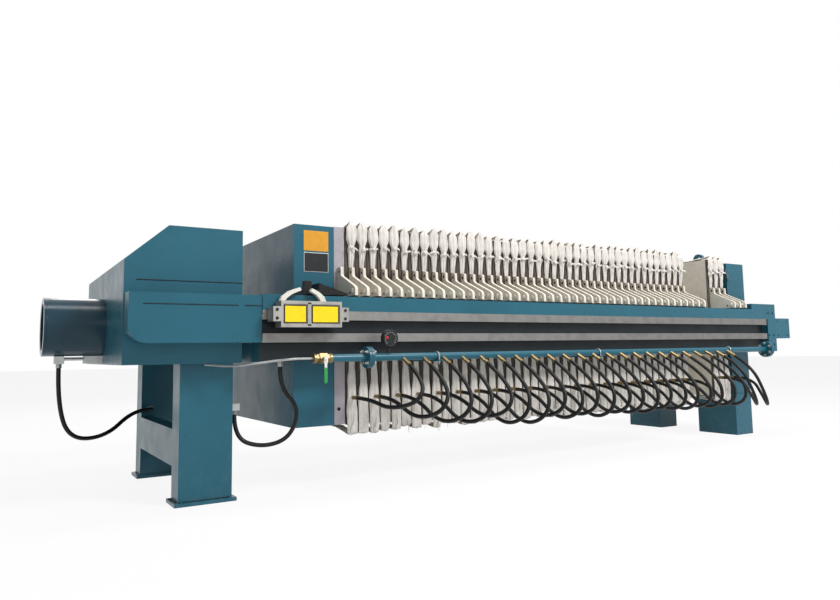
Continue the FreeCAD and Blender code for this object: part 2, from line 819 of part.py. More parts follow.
# ---- plate shifter ----------------------------------------------------------------------------
def shifter():
    lug = 36
    step = 26
    left, right = d.shifter_left, d.shifter_right
    base, top = d.shifter_base, d.shifter_top
    outline = [
        (left + lug, base),
        (right - lug, base),
        (right - lug, base + step),
        (right, base + step),
        (right, top - step),
        (right - lug, top - step),
        (right - lug, top),
        (left + lug, top),
        (left + lug, top - step),
        (left, top - step),
        (left, base + step),
        (left + lug, base + step),
    ]
    middle = left + 170
    windows = ((left + lug + 10, middle - 8), (middle + 8, right - lug - 10))
    leading = [(953, 892), (929, 892), (940, 914), (975, 940), (1026, 958), (1033, 945), (988, 926), (964, 908)]
    trailing = [(1128, 892), (1156, 892), (1146, 918), (1118, 940), (1086, 955), (1078, 942), (1106, 926), (1122, 908)]
    for name, side in SIDES:
        start = -d.shifter_inner if side < 0 else d.shifter_outer
        depth = d.shifter_outer - d.shifter_inner
        body = extrusion(f"shifter_carriage_{name}", "XZ_Plane", outline, start, depth, keep=False)
        face = outward(side, d.shifter_outer - 6, d.shifter_outer)
        cutters = []
        for index, x in enumerate(windows):
            label = f"carriage_{name}_window_{index}"
            cutters.append(block(label, x, face, (base + 14, top - 14), keep=False))
        windows_both = doc.addObject("Part::Compound", f"carriage_{name}_windows")
        windows_both.Links = cutters
        carriage = doc.addObject("Part::Cut", f"shifter_{name}")
        carriage.Base = body
        carriage.Tool = windows_both
        body.Label = f"carriage_{name}_blank"
        carriage.Label = f"shifter_carriage_{name}"
        nodes.append(carriage)
        inner, outer = outward(side, d.shifter_inner.value + 6, d.shifter_inner.value + 30)
        pawls = []
        for profile in (leading, trailing):
            points = [(station, inner, height) for station, height in profile]
            pawls.append(solid_prism(points, (0, outer - inner, 0)))
        group(f"shifter_pawls_{name}", pawls)


cylinder_bracket()
beam_cheeks()
hydraulic_cylinder()
hydraulic_lines()
rear_legs()
side_beams()
head()
plate_pack()
filter_cloths()
manifold()
follower()
shifter()
doc.recompute()

for item in doc.Objects:
    if "Invalid" in item.State or "Error" in item.State:
        raise RuntimeError(f"{item.Label} failed to build: {item.State}")
os.makedirs("parts", exist_ok=True)
for item in nodes:
    if item.Shape.isNull() or not item.Shape.isValid():
        raise RuntimeError(f"{item.Label} has no valid shape")
    item.Shape.exportStep(f"parts/{item.Label}.step")
print(f"{len(nodes)} sub-parts written")
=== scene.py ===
import json
import math
import random

import bmesh
import bpy
from mathutils import Matrix, Vector, noise


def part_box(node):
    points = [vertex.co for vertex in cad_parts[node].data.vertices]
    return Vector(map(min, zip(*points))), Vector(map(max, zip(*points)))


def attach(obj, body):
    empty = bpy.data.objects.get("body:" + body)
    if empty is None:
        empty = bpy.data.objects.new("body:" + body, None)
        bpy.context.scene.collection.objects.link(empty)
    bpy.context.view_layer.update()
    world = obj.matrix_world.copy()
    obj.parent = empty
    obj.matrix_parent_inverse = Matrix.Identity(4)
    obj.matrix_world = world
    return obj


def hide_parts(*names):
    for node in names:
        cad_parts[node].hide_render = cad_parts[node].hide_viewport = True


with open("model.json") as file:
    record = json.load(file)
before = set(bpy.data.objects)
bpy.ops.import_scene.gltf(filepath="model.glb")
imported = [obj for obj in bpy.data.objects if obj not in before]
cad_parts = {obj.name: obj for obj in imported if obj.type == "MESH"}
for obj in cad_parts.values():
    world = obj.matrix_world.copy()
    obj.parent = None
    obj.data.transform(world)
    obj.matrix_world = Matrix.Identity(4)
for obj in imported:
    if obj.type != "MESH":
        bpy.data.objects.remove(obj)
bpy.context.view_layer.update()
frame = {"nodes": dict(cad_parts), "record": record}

# A hydraulic plate filter press, dressed over its CAD frame. Everything is in metres. X runs along
# the machine from the cylinder to the head, and the squeeze manifold is on the near side, at -Y.
NODES = frame["nodes"]
random.seed(7)


# ---- where things are, read from the frame --------------------------------------------------------
def low(node):
    return Vector(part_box(node)[0])


def high(node):
    return Vector(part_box(node)[1])


def middle(node):
    return (low(node) + high(node)) / 2


CENTRE_Y = (low("rear_legs").y + high("rear_legs").y) / 2
PITCH = 0.0637
FIRST_PLATE = middle("end_plate").x
MAIN_PLATES = 43
GROUP_START = high("membrane_plates").x - 0.029 - 2 * PITCH
HEAD_PLATES = 3
PLATES = [FIRST_PLATE + PITCH * i for i in range(MAIN_PLATES)]
PLATES += [GROUP_START + PITCH * i for i in range(HEAD_PLATES)]
PLATE_EDGE = 0.5
PLATE_BASE = low("end_plate").z
BEAM_TOP = high("side_beam_near").z
BEAM_BASE = low("side_beam_near").z
MACHINE_X = low("cylinder_barrel").x - 0.041
AXIS_Z = 0.8
SIDES = (-1, 1)


def off(side, distance):
    """The Y of a distance from the centre plane, on the near (-1) or far (+1) side."""
    return CENTRE_Y + side * distance


def at(x, distance, z, side=-1):
    """A point from machine station, distance from the centre plane and height."""
    return Vector((MACHINE_X + x, off(side, distance), z))


# ---- camera, light and floor ----------------------------------------------------------------------
def place_camera():
    yaw, pitch, roll = 0.5665, 0.0988, -0.0172
    forward = Vector((math.sin(yaw) * math.cos(pitch), math.cos(yaw) * math.cos(pitch), math.sin(pitch)))
    level = Vector((math.cos(yaw), -math.sin(yaw), 0))
    upright = level.cross(forward)
    right = level * math.cos(roll) + upright * math.sin(roll)
    up = upright * math.cos(roll) - level * math.sin(roll)
    data = bpy.data.cameras.new("camera")
    data.sensor_width = 36
    data.lens = 29.74
    data.shift_x = -0.0103
    data.shift_y = -0.0200
    data.clip_end = 100
    camera = bpy.data.objects.new("camera", data)
    camera.matrix_world = Matrix.Translation((-2.6987, CENTRE_Y - 3.7149, 0.6535)) @ Matrix(
        (right, up, -forward)
    ).transposed().to_4x4()
    bpy.context.scene.collection.objects.link(camera)
    bpy.context.scene.camera = camera


def lamp(name, place, target, size, power, colour=(1, 1, 1)):
    data = bpy.data.lights.new(name, "AREA")
    data.shape = "RECTANGLE"
    data.size, data.size_y = size
    data.energy = power
    data.color = colour
    light = bpy.data.objects.new(name, data)
    light.location = place
    light.rotation_euler = (Vector(target) - Vector(place)).to_track_quat("-Z", "Y").to_euler()
    bpy.context.scene.collection.objects.link(light)


def seen_directly(tree):
    """1 for what the camera sees, and for what gloss and clear surfaces show of it."""
    path = tree.nodes.new("ShaderNodeLightPath")
    seen = path.outputs["Is Camera Ray"]
    for ray in ("Is Glossy Ray", "Is Transmission Ray"):
        either = tree.nodes.new("ShaderNodeMath")
        either.operation = "MAXIMUM"
        tree.links.new(seen, either.inputs[0])
        tree.links.new(path.outputs[ray], either.inputs[1])
        seen = either.outputs[0]
    return seen


def light_world():
    """A white background, a dim even light, and a key lamp high in front."""
    world = bpy.data.worlds.new("studio")
    world.use_nodes = True
    bpy.context.scene.world = world
    tree = world.node_tree
    tree.nodes.clear()
    output = tree.nodes.new("ShaderNodeOutputWorld")
    white = tree.nodes.new("ShaderNodeBackground")
    white.inputs["Color"].default_value = (1, 1, 1, 1)
    soft = tree.nodes.new("ShaderNodeBackground")
    soft.inputs["Color"].default_value = (0.95, 0.97, 1.0, 1)
    soft.inputs["Strength"].default_value = 0.15
    mix = tree.nodes.new("ShaderNodeMixShader")
    tree.links.new(seen_directly(tree), mix.inputs[0])
    tree.links.new(soft.outputs[0], mix.inputs[1])
    tree.links.new(white.outputs[0], mix.inputs[2])
    tree.links.new(mix.outputs[0], output.inputs["Surface"])
    bpy.context.scene.view_settings.view_transform = "Standard"
    lamp("key", (2.0, -6.3, 6.4), (-0.2, -0.3, 0.8), (2.2, 2.0), 640)
    lamp("fill", (-4.5, -7.5, 3.2), (-1.2, -0.3, 0.8), (3.0, 2.5), 90)
    lamp("top", (0.0, -0.6, 5.5), (0.0, 0.0, 1.0), (6.0, 1.2), 140)
    lamp("back", (0.5, 5.5, 4.5), (0.0, 0.3, 0.8), (5.0, 2.5), 170)


def lay_floor():
    """A pale floor that is mostly white to the camera and keeps the machine's soft shadow."""
    mesh = bpy.data.meshes.new("floor")
    builder = bmesh.new()
    bmesh.ops.create_grid(builder, x_segments=1, y_segments=1, size=40)
    builder.to_mesh(mesh)
    builder.free()
    floor = bpy.data.objects.new("floor", mesh)
    bpy.context.scene.collection.objects.link(floor)
    material = bpy.data.materials.new("pale_floor")
    material.use_nodes = True
    tree = material.node_tree
    tree.nodes.clear()
    output = tree.nodes.new("ShaderNodeOutputMaterial")
    diffuse = tree.nodes.new("ShaderNodeBsdfDiffuse")
    diffuse.inputs["Color"].default_value = (0.92, 0.92, 0.92, 1)
    glow = tree.nodes.new("ShaderNodeEmission")
    glow.inputs["Color"].default_value = (1, 1, 1, 1)
    mix = tree.nodes.new("ShaderNodeMixShader")
    whiteness = tree.nodes.new("ShaderNodeMath")
    whiteness.operation = "MULTIPLY"
    whiteness.inputs[1].default_value = 0.90
    tree.links.new(seen_directly(tree), whiteness.inputs[0])
    tree.links.new(whiteness.outputs[0], mix.inputs[0])
    tree.links.new(diffuse.outputs[0], mix.inputs[1])
    tree.links.new(glow.outputs[0], mix.inputs[2])
    tree.links.new(mix.outputs[0], output.inputs["Surface"])
    mesh.materials.append(material)


# ---- materials ------------------------------------------------------------------------------------
class Shader:
    """A procedural material: a Principled BSDF and a few helpers that wire nodes to it."""

    def __init__(self, name, colour, roughness, metallic=0.0):
        self.material = bpy.data.materials.new(name)
        self.material.use_nodes = True
        self.tree = self.material.node_tree
        self.bsdf = self.tree.nodes["Principled BSDF"]
        self.bsdf.inputs["Base Color"].default_value = (*colour, 1)
        self.bsdf.inputs["Roughness"].default_value = roughness
        self.bsdf.inputs["Metallic"].default_value = metallic
        self.bsdf.inputs["Specular IOR Level"].default_value = 0.5 if metallic else 0.25
        coordinates = self.node("ShaderNodeTexCoord")
        self.place = coordinates.outputs["Object"]

    def node(self, kind, **settings):
        made = self.tree.nodes.new(kind)
        for key, value in settings.items():
            setattr(made, key, value)
        return made

    def link(self, source, target):
        self.tree.links.new(source, target)

    def stretched(self, scale):
        mapping = self.node("ShaderNodeMapping")
        mapping.inputs["Scale"].default_value = scale
        self.link(self.place, mapping.inputs["Vector"])
        return mapping.outputs["Vector"]

    def clouds(self, size, scale=(1, 1, 1), detail=4.0):
        """Soft noise whose blotches are about that size in metres."""
        texture = self.node("ShaderNodeTexNoise")
        texture.inputs["Scale"].default_value = 1 / size
        texture.inputs["Detail"].default_value = detail
        self.link(self.stretched(scale), texture.inputs["Vector"])
        return texture.outputs["Fac"]

    def between(self, factor, start, end, first=0.0, last=1.0):
        ramp = self.node("ShaderNodeMapRange")
        ramp.inputs["From Min"].default_value = start
        ramp.inputs["From Max"].default_value = end
        ramp.inputs["To Min"].default_value = first
        ramp.inputs["To Max"].default_value = last
        self.link(factor, ramp.inputs["Value"])
        return ramp.outputs["Result"]

    def tint(self, factor, colour):
        """Blend the base colour towards another where the factor is high."""
        factor_in, first_in, second_in, colour_out = 0, 6, 7, 2
        mix = self.node("ShaderNodeMix", data_type="RGBA")
        socket = self.bsdf.inputs["Base Color"]
        if socket.is_linked:
            self.link(socket.links[0].from_socket, mix.inputs[first_in])
        else:
            mix.inputs[first_in].default_value = socket.default_value[:]
        mix.inputs[second_in].default_value = (*colour, 1)
        self.link(factor, mix.inputs[factor_in])
        self.link(mix.outputs[colour_out], socket)

    def gloss(self, factor, smooth, rough):
        self.link(self.between(factor, 0.3, 0.7, smooth, rough), self.bsdf.inputs["Roughness"])

    def bump(self, height, depth, strength=1.0):
        bump = self.node("ShaderNodeBump")
        bump.inputs["Distance"].default_value = depth
        bump.inputs["Strength"].default_value = strength
        if self.bsdf.inputs["Normal"].is_linked:
            self.link(self.bsdf.inputs["Normal"].links[0].from_socket, bump.inputs["Normal"])
        self.link(height, bump.inputs["Height"])
        self.link(bump.outputs["Normal"], self.bsdf.inputs["Normal"])


def enamel(name, colour, roughness, dust=(0.20, 0.24, 0.25)):
    """Sprayed machine enamel: orange peel, faint mottling, dust low down and thin scratches."""
    shader = Shader(name, colour, roughness)
    mottle = shader.between(shader.clouds(0.35), 0.35, 0.75, 0.0, 0.35)
    shader.tint(mottle, tuple(c * 0.6 for c in colour))
    split = shader.node("ShaderNodeSeparateXYZ")
    shader.link(shader.place, split.inputs[0])
    lowness = shader.between(split.outputs["Z"], 0.0, 0.35, 1.0, 0.0)
    speckle = shader.between(shader.clouds(0.05, detail=8.0), 0.45, 0.75)
    dusty = shader.node("ShaderNodeMath", operation="MULTIPLY")
    shader.link(lowness, dusty.inputs[0])
    shader.link(speckle, dusty.inputs[1])
    faint = shader.node("ShaderNodeMath", operation="MULTIPLY")
    faint.inputs[1].default_value = 0.15
    shader.link(dusty.outputs[0], faint.inputs[0])
    shader.tint(faint.outputs[0], dust)
    scratch = shader.between(shader.clouds(0.004, (0.04, 1, 1), 2.0), 0.70, 0.74, 0.0, 0.08)
    shader.tint(scratch, (0.18, 0.26, 0.29))
    shader.gloss(shader.clouds(0.12), roughness - 0.06, roughness + 0.08)
    shader.bump(shader.clouds(0.003, detail=2.0), 0.00025)
    shader.bump(shader.clouds(0.09, detail=1.0), 0.0006)
    shader.bsdf.inputs["Coat Weight"].default_value = 0.1
    shader.bsdf.inputs["Coat Roughness"].default_value = 0.2
    return shader.material


def worked_steel(name, colour, roughness, stretch=(0.02, 1, 1)):
    """Drawn or ground steel with lines along one way and a few darker stains."""
    shader = Shader(name, colour, roughness, 0.85)
    stains = shader.between(shader.clouds(0.06), 0.45, 0.75, 0.0, 0.5)
    shader.tint(stains, tuple(c * 0.5 for c in colour))
    lines = shader.clouds(0.003, stretch, 3.0)
    shader.gloss(lines, roughness - 0.08, roughness + 0.12)
    shader.bump(lines, 0.0002)
    return shader.material


def moulded(name, colour, stain, painted_gap_shade=None):
    """Moulded polypropylene, matt and mottled. With a gap colour given, a plate's side faces are darkened to
    it: painted shade for the shadow between plates.
    """
    shader = Shader(name, colour, 0.5)
    shader.tint(shader.between(shader.clouds(0.03), 0.42, 0.72, 0.0, 0.35), stain)
    marks = shader.between(shader.clouds(0.006, detail=6.0), 0.6, 0.8, 0.0, 0.3)
    shader.tint(marks, tuple(c * 0.7 for c in stain))
    shader.gloss(shader.clouds(0.02), 0.42, 0.58)
    shader.bump(shader.clouds(0.004, detail=3.0), 0.0002)
    if painted_gap_shade:
        split = shader.node("ShaderNodeSeparateXYZ")
        shader.link(shader.place, split.inputs[0])
        from_centre = shader.node("ShaderNodeMath", operation="SUBTRACT")
        from_centre.inputs[1].default_value = CENTRE_Y
        shader.link(split.outputs["Y"], from_centre.inputs[0])
        distance = shader.node("ShaderNodeMath", operation="ABSOLUTE")
        shader.link(from_centre.outputs[0], distance.inputs[0])
        # painted shade: beyond 0.488 m from the centre plane the plate's side faces go to the gap colour, as
        # if in shadow between plates
        shader.tint(shader.between(distance.outputs[0], 0.488, 0.494), painted_gap_shade)
    return shader.material


def woven(name, colour, shade):
    """Polypropylene filter cloth: a fine twill weave over soft creases, off-white with greyer patches."""
    shader = Shader(name, colour, 0.78)
    shader.tint(shader.between(shader.clouds(0.05, detail=5.0), 0.42, 0.7, 0.0, 0.55), shade)
    twill = []
    for direction in ((0.7, 0.7, 1.0), (-0.7, -0.7, 1.0)):
        wave = shader.node("ShaderNodeTexWave", wave_type="BANDS", bands_direction="DIAGONAL")
        wave.inputs["Scale"].default_value = 260
        wave.inputs["Distortion"].default_value = 1.2
        wave.inputs["Detail"].default_value = 1.0
        shader.link(shader.stretched(direction), wave.inputs["Vector"])
        twill.append(wave.outputs["Fac"])
    weave = shader.node("ShaderNodeMath", operation="MAXIMUM")
    shader.link(twill[0], weave.inputs[0])
    shader.link(twill[1], weave.inputs[1])
    shader.bump(weave.outputs[0], 0.0004)
    shader.bump(shader.clouds(0.018, (1, 1, 0.35), 6.0), 0.004)
    shader.bsdf.inputs["Sheen Weight"].default_value = 0.25
    shader.bsdf.inputs["Sheen Roughness"].default_value = 0.5
    return shader.material


def rubber(name, colour):
    shader = Shader(name, colour, 0.42)
    shader.tint(shader.between(shader.clouds(0.02, detail=6.0), 0.5, 0.8, 0.0, 0.5), (0.022, 0.021, 0.02))
    shader.gloss(shader.clouds(0.015), 0.32, 0.52)
    shader.bump(shader.clouds(0.002, detail=2.0), 0.00015)
    return shader.material


def make_materials():
    return {
        "teal_paint": enamel("teal_paint", (0.016, 0.110, 0.158), 0.32),
        "dark_paint": enamel("dark_paint", (0.006, 0.040, 0.062), 0.18),
        "machined_steel": worked_steel("machined_steel", (0.62, 0.62, 0.61), 0.25, (1, 1, 0.02)),
        "rail_steel": worked_steel("rail_steel", (0.24, 0.235, 0.225), 0.45),
        "grey_plate": moulded("grey_plate", (0.39, 0.355, 0.38), (0.28, 0.26, 0.275)),
        "white_plate": moulded("white_plate", (0.74, 0.69, 0.60), (0.55, 0.49, 0.40)),
        # painted shade: a copy of white_plate whose side faces are dark as if in the shadow between plates
        "plate_with_painted_shade": moulded(
            "plate_with_painted_shade", (0.74, 0.69, 0.60), (0.55, 0.49, 0.40), (0.095, 0.075, 0.062)
        ),
        "black_rubber": rubber("black_rubber", (0.006, 0.006, 0.006)),
        "filter_cloth": woven("filter_cloth", (0.72, 0.68, 0.63), (0.50, 0.47, 0.43)),
        "brass": worked_steel("brass", (0.27, 0.20, 0.095), 0.36),
        "green_sleeve": moulded("green_sleeve", (0.03, 0.30, 0.07), (0.02, 0.18, 0.05)),
        "gauge_black": rubber("gauge_black", (0.018, 0.018, 0.018)),
        "cast_grey": worked_steel("cast_grey", (0.36, 0.35, 0.33), 0.48, (1, 1, 1)),
        "cream_paint": moulded("cream_paint", (0.78, 0.76, 0.68), (0.55, 0.52, 0.45)),
        "galvanised": worked_steel("galvanised", (0.42, 0.43, 0.43), 0.4, (1, 1, 1)),
        "amber_label": moulded("amber_label", (0.67, 0.31, 0.025), (0.52, 0.23, 0.02)),
        "dark_label": moulded("dark_label", (0.010, 0.012, 0.013), (0.025, 0.028, 0.03)),
        "yellow_label": moulded("yellow_label", (0.90, 0.65, 0.010), (0.74, 0.50, 0.010)),
        "pale_dial": moulded("pale_dial", (0.75, 0.75, 0.72), (0.6, 0.6, 0.58)),
        "red_mark": moulded("red_mark", (0.55, 0.03, 0.03), (0.4, 0.02, 0.02)),
        # near-black: painted shade in the rail channels, and the colour of the weld beads
        "weld_and_painted_shade_black": enamel("weld_and_painted_shade_black", (0.006, 0.012, 0.015), 0.5, (0.03, 0.03, 0.03)),
        "shadow_black": rubber("shadow_black", (0.004, 0.004, 0.004)),
    }


SOFT_EDGED = ("teal_paint", "white_plate", "grey_plate", "cast_grey", "rail_steel", "dark_paint")


def dress_nodes():
    """Every CAD node gets its slot's material, the filter plates a copy with painted shade on their side
    faces, and the painted and moulded ones get soft edges.
    """
    for part in frame["record"]["subparts"]:
        node = NODES[part["node"]]
        node.data.materials.clear()
        between = part["node"] in ("chamber_plates", "membrane_plates")
        # the filter plates take the copy with painted shade on their side faces
        node.data.materials.append(MATERIALS["plate_with_painted_shade" if between else part["material_slot"]])
        if part["material_slot"] in SOFT_EDGED:
            bevel = node.modifiers.new("edge", "BEVEL")
            bevel.width = 0.0025
            bevel.segments = 2
            bevel.limit_method = "ANGLE"
            bevel.angle_limit = math.radians(50)


# ---- building blocks for the scene's own pieces ---------------------------------------------------
class Piece:
    """A mesh built from simple solids, closed and given to one body with one material."""

    def __init__(self, name):
        self.name = name
        self.mesh = bmesh.new()

    def box(self, lowest, highest):
        size = Vector(highest) - Vector(lowest)
        place = Matrix.Translation((Vector(lowest) + Vector(highest)) / 2) @ Matrix.Diagonal((*size, 1))
        bmesh.ops.create_cube(self.mesh, size=1, matrix=place)

    def rod(self, start, end, radius, sides=24, end_radius=None):
        start, end = Vector(start), Vector(end)
        turn = (end - start).to_track_quat("Z", "Y").to_matrix().to_4x4()
        bmesh.ops.create_cone(
            self.mesh,
            cap_ends=True,
            segments=sides,
            radius1=radius,
            radius2=radius if end_radius is None else end_radius,
            depth=(end - start).length,
            matrix=Matrix.Translation((start + end) / 2) @ turn,
        )

    def prism(self, points, direction):
        """A flat outline of 3-D points pushed along a direction."""
        first = [self.mesh.verts.new(point) for point in points]
        last = [self.mesh.verts.new(Vector(point) + Vector(direction)) for point in points]
        self.mesh.faces.new(first)
        self.mesh.faces.new(list(reversed(last)))
        for index in range(len(points)):
            after = (index + 1) % len(points)
            self.mesh.faces.new((first[after], first[index], last[index], last[after]))

    def grid(self, rows):
        """A sheet through rows of points."""
        lines = [[self.mesh.verts.new(point) for point in row] for row in rows]
        for one, two in zip(lines, lines[1:]):
            for index in range(len(one) - 1):
                self.mesh.faces.new((one[index], one[index + 1], two[index + 1], two[index]))

    def torus(self, centre, axis, radius, tube, start=0.0, end=math.tau, steps=24, sides=8):
        turn = Vector(axis).to_track_quat("Z", "Y").to_matrix()
        rows = []
        for step in range(steps + 1):
            angle = start + (end - start) * step / steps
            spoke = Vector((math.cos(angle), math.sin(angle), 0))
            row = []
            for side in range(sides + 1):
                round_it = math.tau * side / sides
                reach = radius + tube * math.cos(round_it)
                local = spoke * reach + Vector((0, 0, tube * math.sin(round_it)))
                row.append(Vector(centre) + turn @ local)
            rows.append(row)
        self.grid(rows)

    def done(self, body, material, smooth=False, bevel=0.0, replaces=()):
        bmesh.ops.remove_doubles(self.mesh, verts=self.mesh.verts, dist=1e-6)
        bmesh.ops.recalc_face_normals(self.mesh, faces=self.mesh.faces)
        data = bpy.data.meshes.new(self.name)
        self.mesh.to_mesh(data)
        self.mesh.free()
        data.materials.append(MATERIALS[material])
        if smooth:
            data.shade_smooth()
        piece = bpy.data.objects.new(self.name, data)
        bpy.context.scene.collection.objects.link(piece)
        if bevel:
            edge = piece.modifiers.new("edge", "BEVEL")
            edge.width = bevel
            edge.segments = 2
            edge.limit_method = "ANGLE"
            edge.angle_limit = math.radians(40)
        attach(piece, body)
        if replaces:
            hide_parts(*replaces)
        return piece


# ---- hoses ----------------------------------------------------------------------------------------
TAP_WAY = Vector((0, -0.871, -0.491))
OUT = Vector((0, -1, 0))
# How far each hose but the last two runs out along its tap, and how far it falls, in millimetres.
HOSE_RUN = (
    *(168, 205, 232, 235, 240, 232, 244, 236, 240, 230, 238),
    *(243, 232, 236, 230, 240, 234, 238, 230, 238, 232),
)
HOSE_FALL = (
    *(188, 236, 262, 272, 252, 292, 298, 272, 290, 280, 296),
    *(284, 292, 298, 286, 294, 300, 292, 302, 296, 300),
)
LOOSE_FALL = (262, 268)
PIPE_Y = off(-1, 0.780)
PIPE_Z = 0.633
PIPE_RADIUS = 0.018
FIRST_TAP = low("manifold_taps").x + 0.010
TAP_PITCH = 0.1157
TAPS = [FIRST_TAP + TAP_PITCH * index for index in range(23)]
PORTS = [PLATES[index] for index in range(1, 46, 2)]
PORT_Z = 0.432
HOSE_WIDE = 0.020


def hose(name, points, diameter):
    """A free hose along its route's control points."""
    data = bpy.data.curves.new(name, "CURVE")
    data.dimensions = "3D"
    data.bevel_depth = diameter / 2
    data.bevel_resolution = 5
    data.resolution_u = 10
    line = data.splines.new("NURBS")
    line.points.add(len(points) - 1)
    for control, point in zip(line.points, points):
        control.co = (*point, 1)
    line.order_u = 3
    line.use_endpoint_u = True
    data.use_fill_caps = True
    piece = bpy.data.objects.new(name, data)
    bpy.context.scene.collection.objects.link(piece)
    data.materials.append(MATERIALS["black_rubber"])
    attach(piece, "frame")
    return piece


def squeeze_route(index, tip, port):
    """The same points as the CAD tube: out along the tap, down and round, level into the port."""
    drift = port.x - tip.x
    if index < len(HOSE_RUN):
        turn = tip + TAP_WAY * HOSE_RUN[index] / 1000
        fall = HOSE_FALL[index] / 1000
        bends = [(0.35, -0.022, 0.92), (0.75, 0.150, 1.12)]
    else:
        turn = tip + TAP_WAY * 0.150
        fall = LOOSE_FALL[index - len(HOSE_RUN)] / 1000
        bends = [(0.18, -0.042, 1.0), (0.42, 0.005, 1.30), (0.74, 0.120, 1.08)]
    route = [tip, turn]
    for share, inward, drop in bends:
        route.append(Vector((tip.x + drift * share, turn.y + inward, tip.z - fall * drop)))
    return route + [port + OUT * 0.150, port]


def hang_squeeze_hoses():
    """The hoses, each with a crimped brass ferrule at both of its ends."""
    ferrules = Piece("hose_ferrules")
    for index, (tap_x, port_x) in enumerate(zip(TAPS, PORTS)):
        tip = Vector((tap_x, PIPE_Y, PIPE_Z)) + TAP_WAY * (PIPE_RADIUS + 0.050)
        port = Vector((port_x, off(-1, 0.560), PORT_Z))
        route = squeeze_route(index, tip, port)
        hose(f"squeeze_hose_{index + 1:02d}", route, HOSE_WIDE)
        for end, way in ((tip, TAP_WAY), (port, OUT)):
            ferrules.rod(end - way * 0.004, end + way * 0.014, 0.0112, 20)
            ferrules.rod(end - way * 0.006, end - way * 0.002, 0.0122, 6)
    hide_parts("squeeze_hoses")
    ferrules.done("frame", "brass", bevel=0.0008)


def hang_hydraulic_hoses():
    """One from the rear port of the cylinder to the far leg, one from the near leg to the near beam."""
    port_block_top = 0.6265
    rear = [
        (0.116, 0, port_block_top - 0.018),
        (0.116, 0, 0.450),
        (0.170, 0.020, 0.270),
        (0.340, 0.100, 0.262),
        (0.480, 0.210, 0.372),
        (0.600, 0.270, 0.372),
        (0.600, 0.356, 0.372),
    ]
    near = [
        (0.812, -0.460, 0.380),
        (0.812, -0.460, 0.268),
        (0.930, -0.515, 0.224),
        (1.050, -0.555, 0.262),
        (1.088, -0.575, 0.400),
        (0.979, -0.606, 0.500),
        (0.979, -0.606, 0.598),
    ]
    for name, route in (("hydraulic_hose_rear", rear), ("hydraulic_hose_near", near)):
        points = [Vector((x + MACHINE_X, y + CENTRE_Y, z)) for x, y, z in route]
        hose(name, points, 0.020)
    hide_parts("hydraulic_hoses")


# ---- filter cloths ----------------------------------------------------------------------------------
def crease(point, size):
    return noise.noise(Vector(point) / size)


def cloth_strip(piece, x, spine, number, across=12, pleats=2.5, depth=0.005):
    """A gathered strip along a spine of (y, z, half width, bulge), each with its own creases."""
    rows = []
    for step, (y, z, half, bulge) in enumerate(spine):
        before = spine[max(step - 1, 0)]
        after = spine[min(step + 1, len(spine) - 1)]
        way = Vector((0, after[0] - before[0], after[1] - before[1])).normalized()
        outward = Vector((0, -way.z, way.y)) * (1 if way.length else 0)
        row = []
        for index in range(across + 1):
            t = 2 * index / across - 1
            sway = 0.004 * crease((number * 3.1, y * 9, z * 9), 1.0)
            fold = math.cos(t * math.pi * pleats + 2 * crease((number * 1.7, y * 5, z * 5), 1.0))
            fine = crease((x * 40 + t * 1.3, y * 30, z * 30), 1.0)
            lift = bulge * (1 - t * t) ** 0.5 + depth * 0.5 * fold * (1 - t * t) + depth * 0.6 * fine
            row.append(Vector((x + t * half + sway, CENTRE_Y + y, z)) + outward * lift)
        rows.append(row)
    piece.grid(rows)


def spine_between(stops, steps):
    """Stops of (y, z, half width, bulge) with evenly eased steps between each pair."""
    spine = []
    for one, two in zip(stops, stops[1:]):
        for step in range(steps):
            t = step / steps
            ease = t * t * (3 - 2 * t)
            spine.append((one[0] + (two[0] - one[0]) * t, one[1] + (two[1] - one[1]) * t,
                          one[2] + (two[2] - one[2]) * ease, one[3] + (two[3] - one[3]) * ease))
    spine.append(stops[-1])
    return spine


def hang_upper_cloths():
    piece = Piece("upper_cloths_gathered")
    for number, x in enumerate(PLATES[1:]):
        jump = random.uniform
        edge = PLATE_EDGE + 0.004
        stops = []
        side_up = [
            (edge + 0.001, 1.093, 0.0135, 0.006),
            (edge + 0.004, 1.150, 0.0170, 0.008),
            (edge + 0.006, 1.190 + jump(-0.01, 0.01), 0.0215, 0.010),
            (edge + 0.004, 1.206 + jump(-0.01, 0.01), 0.0165, 0.012),
            (edge + 0.008, 1.245, 0.0305, 0.012),
            (edge + 0.010, 1.290, 0.0300 + jump(-0.004, 0.002), 0.008),
            (edge + 0.004 + jump(0, 0.01), 1.328 + jump(-0.010, 0.012), 0.0110 + jump(-0.002, 0.006), 0.003),
            (edge - 0.040, 1.312 + jump(-0.004, 0.006), 0.0200, 0.006),
        ]
        for y, z, half, bulge in side_up:
            stops.append((-y, z, half, bulge))
        for y in (-0.36, -0.18, 0.0, 0.18, 0.36):
            stops.append((y, 1.308 + jump(-0.003, 0.008), 0.025 + jump(-0.003, 0.003), 0.008))
        for y, z, half, bulge in reversed(side_up):
            stops.append((y, z + jump(-0.004, 0.004), half, bulge))
        cloth_strip(piece, x, spine_between(stops, 4), number)
    area = sum(face.calc_area() for face in piece.mesh.faces)
    made = piece.done("frame", "filter_cloth", smooth=True, replaces=("upper_cloths",))


